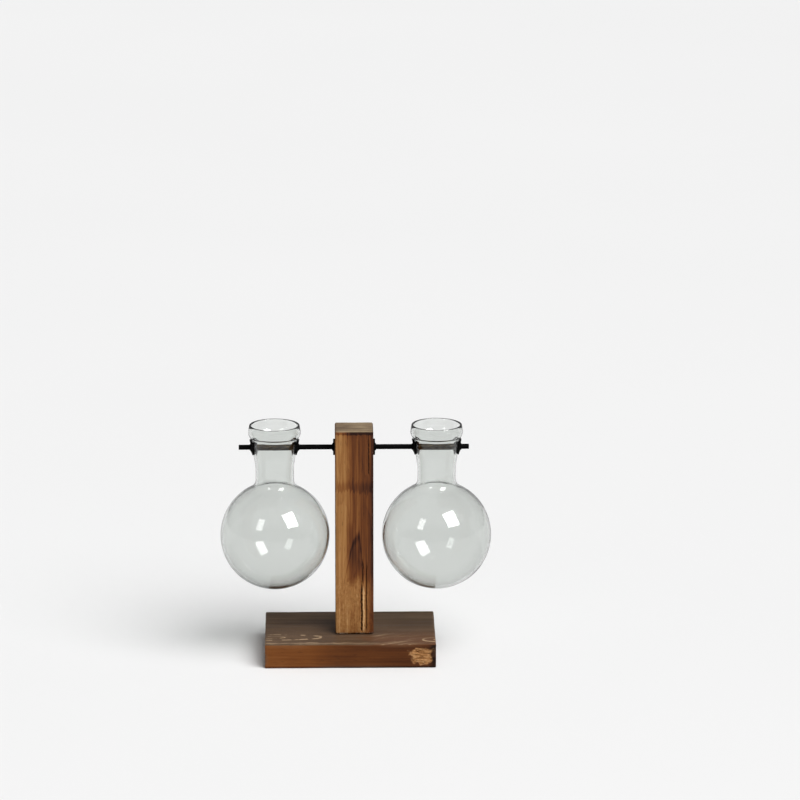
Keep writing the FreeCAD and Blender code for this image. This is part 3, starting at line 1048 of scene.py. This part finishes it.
def glass_surface(inset):
    """Points of the glass surface from the ball's bottom up to the lip, moved into the wall by inset."""
    step_turn = 180 - lip_step_angle
    step_centre = flare_end + flare_out * lip_step_round
    step_end = on_circle(step_centre, lip_step_round, step_turn)
    lip_centre = on_circle(step_end, lip_bead_round, step_turn)
    points = arc_points((0, 0), ball_radius - inset, -90, shoulder_turn, ball_steps)
    points += arc_points(shoulder_centre, shoulder_round + inset, 180 + shoulder_turn, 180, bend_steps)
    points += arc_points(bend_centre, flare_round + inset, 180, 180 - flare_angle, short_bend_steps)
    points += arc_points(step_centre, lip_step_round + inset, 180 - flare_angle, step_turn, short_bend_steps)
    points += arc_points(lip_centre, lip_bead_round - inset, -lip_step_angle, lip_lean_angle, bend_steps)
    return points + [points[-1] + lip_up * lip_height]


def spread(points, longest=glass_longest_step):
    """The same points with more between those that lie far apart, and no doubles."""
    result = [points[0]]
    for point in points[1:]:
        gap = (point - result[-1]).length
        if gap < shortest_step:
            continue
        count = math.ceil(gap / longest)
        start = result[-1]
        result += [start.lerp(point, (index + 1) / count) for index in range(count)]
    return result


def glass_outline():
    """Closed outline of the vase's wall: outside up, over the round rim, and inside down."""
    outer = glass_surface(0)
    inner = glass_surface(glass_wall)
    rim_centre = (outer[-1] + inner[-1]) / 2
    rim = arc_points(rim_centre, glass_wall / 2, lip_lean_angle, 180 + lip_lean_angle, rim_steps)[1:-1]
    return spread(outer) + rim + spread(inner)[::-1]


def ripple(seed):
    """Rule for slow uneven waves, as in glass blown by hand, that spares the glass round the holes."""

    def rule(point):
        wave = noise.noise(point / glass_ripple_length + Vector((seed, 0, 0)))
        spared = smooth_step(abs(point.z - hole_height), *glass_ripple_fade)
        return glass_ripple_depth * (0.5 + 0.5 * wave) * spared, {}

    return rule


def drill(piece, radius, height, reach):
    """Hole of one radius through both sides of a piece, along X."""
    along_x = (0, math.radians(90), 0)
    start_piece()
    bpy.ops.mesh.primitive_cylinder_add(
        vertices=drill_sides, radius=radius, depth=2 * reach, location=(0, 0, height), rotation=along_x)
    cut_away(piece, bpy.context.object)


def clear_glass():
    """Clear glass, faintly green in its thickness, that lets the light through to the floor."""
    material, tree, shader = new_material("blown_glass")
    position = add_node(tree, "TexCoord").outputs["Object"]
    waves = stretched_noise(tree, position, (38.0, 38.0, 30.0), 2.0)
    set_inputs(tree, shader, {
        "Base Color": (0.845, 0.862, 0.846, 1),
        "Roughness": 0.0,
        "IOR": 1.47,
        "Transmission Weight": 1.0,
        "Normal": bump(tree, 0.12, 1.2 * mm, waves),
    })
    passing = add_node(tree, "BsdfTransparent", {"Color": (0.72, 0.73, 0.725, 1)})
    shadow = add_node(tree, "LightPath").outputs["Is Shadow Ray"]
    blend = add_node(tree, "MixShader", {0: shadow, 1: shader.outputs[0], 2: passing.outputs[0]})
    set_inputs(tree, tree.nodes["Material Output"], {"Surface": blend.outputs[0]})
    return material


glass = clear_glass()
vase_x = {}
for index, side_name in enumerate(("left", "right")):
    node = side_name + "_glass_vase"
    low, high = [Vector(corner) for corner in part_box(node)]
    vase_x[side_name] = (low.x + high.x) / 2
    vase = turned(node + "_blown", glass_outline(), glass_sides)
    carve(vase, ripple(10 * index))
    drill(vase, glass_hole_radius, hole_height, 2 * neck_radius)
    vase.data.transform(Matrix.Translation((vase_x[side_name], bar_axis.y, bar_axis.z - hole_height)))
    dress(vase, glass, "clear_glass", side_name + "_vase", node)


# Grommets: black rubber rings snapped into the holes of the necks. A thin flange lies on each side of
# the glass and follows the neck's curve, and a short collar closes on the rod.
grommet_outer_flange = 0.9 * mm
grommet_inner_flange = 0.7 * mm
grommet_barrel_radius = 4 * mm
grommet_seat_radius = 4.5 * mm
grommet_gap = 0.06 * mm
grommet_collar_root_radius = 2.8 * mm
grommet_collar_root_rise = 0.1 * mm
grommet_collar_tip_radius = 2.3 * mm
grommet_outer_collar = 0.9 * mm
grommet_inner_collar = 0.5 * mm
grommet_round = 0.35 * mm
grommet_small_round = 0.15 * mm
grommet_longest_step = 0.6 * mm
hole_wall_x = flare_start.x + flare_below_hole * math.tan(flare)


def grommet_outline(flange_radius):
    """Outline of a grommet before it bends: the glass's outer face is at height zero."""
    small = grommet_small_round
    outer_low = grommet_gap
    outer_top = outer_low + grommet_outer_flange
    outer_tip = outer_top + grommet_outer_collar
    inner_top = -glass_wall - grommet_gap
    inner_low = inner_top - grommet_inner_flange
    inner_tip = inner_low - grommet_inner_collar
    points = [(bore_radius, inner_tip)]
    points += rounded((grommet_collar_root_radius - small, inner_tip + small), small, -90, 3)
    points += [(grommet_collar_root_radius, inner_low), (grommet_seat_radius, inner_low)]
    points += rounded((flange_radius - grommet_round, inner_low + grommet_round), grommet_round, -90, 4)
    points += rounded((flange_radius - small, inner_top - small), small, 0, 3)
    points += [(grommet_barrel_radius, inner_top), (grommet_barrel_radius, outer_low)]
    points += rounded((flange_radius - small, outer_low + small), small, -90, 3)
    points += rounded((flange_radius - grommet_round, outer_top - grommet_round), grommet_round, 0, 4)
    points += [(grommet_seat_radius, outer_top)]
    points += [(grommet_collar_root_radius, outer_top + grommet_collar_root_rise)]
    points += rounded((grommet_collar_tip_radius - small, outer_tip - small), small, 0, 3)
    return points + [(bore_radius, outer_tip)]


def bend_to_neck(piece):
    """Bend a grommet that lies along X so that its flanges follow the leaning round neck."""
    for vertex in piece.data.vertices:
        point = vertex.co
        from_bar = math.hypot(point.y, point.z)
        wall_radius = hole_wall_x + point.z * math.tan(flare)
        neck_x = math.sqrt(wall_radius**2 - point.y**2)
        share = smooth_step(from_bar, grommet_collar_root_radius, grommet_seat_radius)
        point.x += hole_wall_x + (neck_x - hole_wall_x) * share


for side_name, side in (("left", -1), ("right", 1)):
    for place_name, outward in (("outer", 1), ("inner", -1)):
        node = f"{side_name}_vase_{place_name}_grommet"
        low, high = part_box(node)
        flange_radius = (high[2] - low[2]) / 2
        outline = [Vector(point) for point in grommet_outline(flange_radius)]
        ring = turned(node + "_rubber", spread(outline, grommet_longest_step), rubber_sides)
        lay_along_bar(ring)
        bend_to_neck(ring)
        if side * outward < 0:
            ring.data.transform(Matrix.Rotation(math.pi, 4, "Z"))
        ring.data.transform(Matrix.Translation((vase_x[side_name], bar_axis.y, bar_axis.z)))
        dress(ring, rubber, "black_rubber", side_name + "_vase", node)


# The room: a plain pale floor under an even sky. A broad soft sun from the right lights the matt
# surfaces, and two soft boxes show only as highlights, in the glass and in the gloss of the rest.
floor_size = 14.0
light_aim = Vector((0, 0, 100 * mm))
sun_azimuth = 42
sun_elevation = 50
sun_spread = 50
sun_power = 3.82
world_light = 0.215
world_in_gloss = 0.27


def floor_material():
    """Matt off white, and darker where the gloss of the glass and the wood mirrors it."""
    material, tree, shader = new_material("pale_floor")
    position = add_node(tree, "TexCoord").outputs["Object"]
    tone = stretched_noise(tree, position, (1.5, 1.5, 1.5), 2.0)
    pale = mixed(tree, tone, (0.80, 0.80, 0.80, 1), (0.83, 0.83, 0.83, 1))
    paths = add_node(tree, "LightPath").outputs
    mirrored = calculate(tree, "SUBTRACT", paths["Is Glossy Ray"], paths["Is Transmission Ray"], clamp=True)
    colour = mixed(tree, mirrored, pale, (0.34, 0.34, 0.34, 1))
    set_inputs(tree, shader, {"Base Color": colour, "Roughness": 0.8})
    return material


def towards(azimuth, elevation):
    """Direction of a light, from its degrees right of the front and above the floor."""
    turn = math.radians(azimuth)
    rise = math.radians(elevation)
    return Vector((math.sin(turn) * math.cos(rise), -math.cos(turn) * math.cos(rise), math.sin(rise)))


def show_light(light, in_gloss):
    """Let a light show as a highlight or else light the matt surfaces, but not both."""
    light.visible_diffuse = not in_gloss
    light.visible_glossy = in_gloss
    light.visible_transmission = in_gloss


def soft_box(name, azimuth, elevation, distance, width, height, power):
    """Rectangular light that faces the middle of the stand and shows only as a highlight."""
    direction = towards(azimuth, elevation)
    bpy.ops.object.light_add(type="AREA", location=light_aim + direction * distance)
    light = bpy.context.object
    light.name = name
    light.rotation_euler = direction.to_track_quat("Z", "Y").to_euler()
    light.data.shape = "RECTANGLE"
    light.data.size = width
    light.data.size_y = height
    light.data.energy = power
    show_light(light, in_gloss=True)


start_piece()
bpy.ops.mesh.primitive_plane_add(size=floor_size, location=(0, 0, 0))
floor = bpy.context.object
floor.name = "studio_floor"
floor.data.materials.append(floor_material())

soft_box("key_box", azimuth=43, elevation=42, distance=1.8, width=0.8, height=1.0, power=30)
soft_box("fill_box", azimuth=-38, elevation=33, distance=2.2, width=0.5, height=0.9, power=7)

sun_direction = towards(sun_azimuth, sun_elevation)
bpy.ops.object.light_add(type="SUN", location=sun_direction)
sun = bpy.context.object
sun.rotation_euler = sun_direction.to_track_quat("Z", "Y").to_euler()
sun.data.angle = math.radians(sun_spread)
sun.data.energy = sun_power
show_light(sun, in_gloss=False)

world = bpy.context.scene.world or bpy.data.worlds.new("studio")
bpy.context.scene.world = world
world.use_nodes = True
sky = world.node_tree
paths = add_node(sky, "LightPath").outputs
bent = calculate(sky, "MAXIMUM", paths["Is Glossy Ray"], paths["Is Transmission Ray"])
strength = calculate(sky, "MULTIPLY_ADD", bent, world_in_gloss - world_light, world_light)
set_inputs(sky, sky.nodes["Background"], {"Color": (1.0, 1.0, 1.0, 1), "Strength": strength})
bpy.context.scene.view_settings.view_transform = "Standard"
